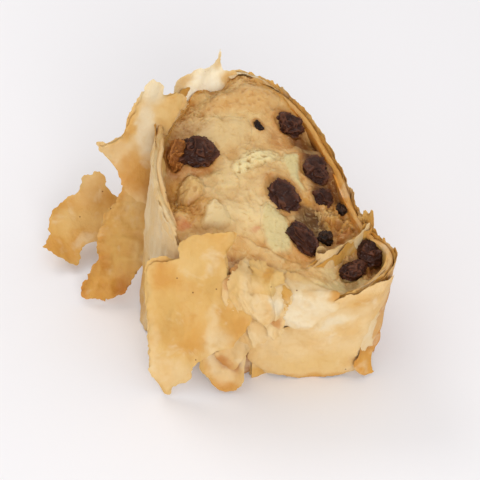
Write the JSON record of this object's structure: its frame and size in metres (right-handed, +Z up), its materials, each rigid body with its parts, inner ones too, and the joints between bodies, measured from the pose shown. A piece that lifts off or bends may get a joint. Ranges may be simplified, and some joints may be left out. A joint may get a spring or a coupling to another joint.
{
  "type": "apple strudel slice",
  "caption": "Slice of apple strudel standing on a cut face: a torn flaky pastry wall round an apple and raisin filling, with loose curled sheets.",
  "frame": {"origin": "below the middle of the slice's bounding box, on the surface that it stands on", "axes": "+X to the right along the longest extent, from the loose side sheet to the raisin pocket; +Y to the back, where the cut face is highest; +Z up"},
  "size_m": [0.1186, 0.0984, 0.0787],
  "materials": {
    "pastry": "satin",
    "filling": "satin",
    "apple": "satin",
    "raisin": "satin",
    "amber_raisin": "satin"
  },
  "bodies": {
    "root": {"pastry": "pastry", "filling": "filling", "filling_turn": "filling", "apple_1": "apple", "apple_2": "apple", "apple_3": "apple", "apple_4": "apple", "apple_5": "apple", "apple_6": "apple", "apple_7": "apple", "apple_8": "apple", "apple_9": "apple", "raisin_1": "raisin", "raisin_2": "amber_raisin", "raisin_3": "raisin", "raisin_4": "raisin", "raisin_5": "raisin", "raisin_6": "raisin", "raisin_7": "raisin", "raisin_8": "raisin", "raisin_9": "raisin", "raisin_10": "raisin", "raisin_11": "raisin", "raisin_12": "raisin"}
  },
  "joints": []
}
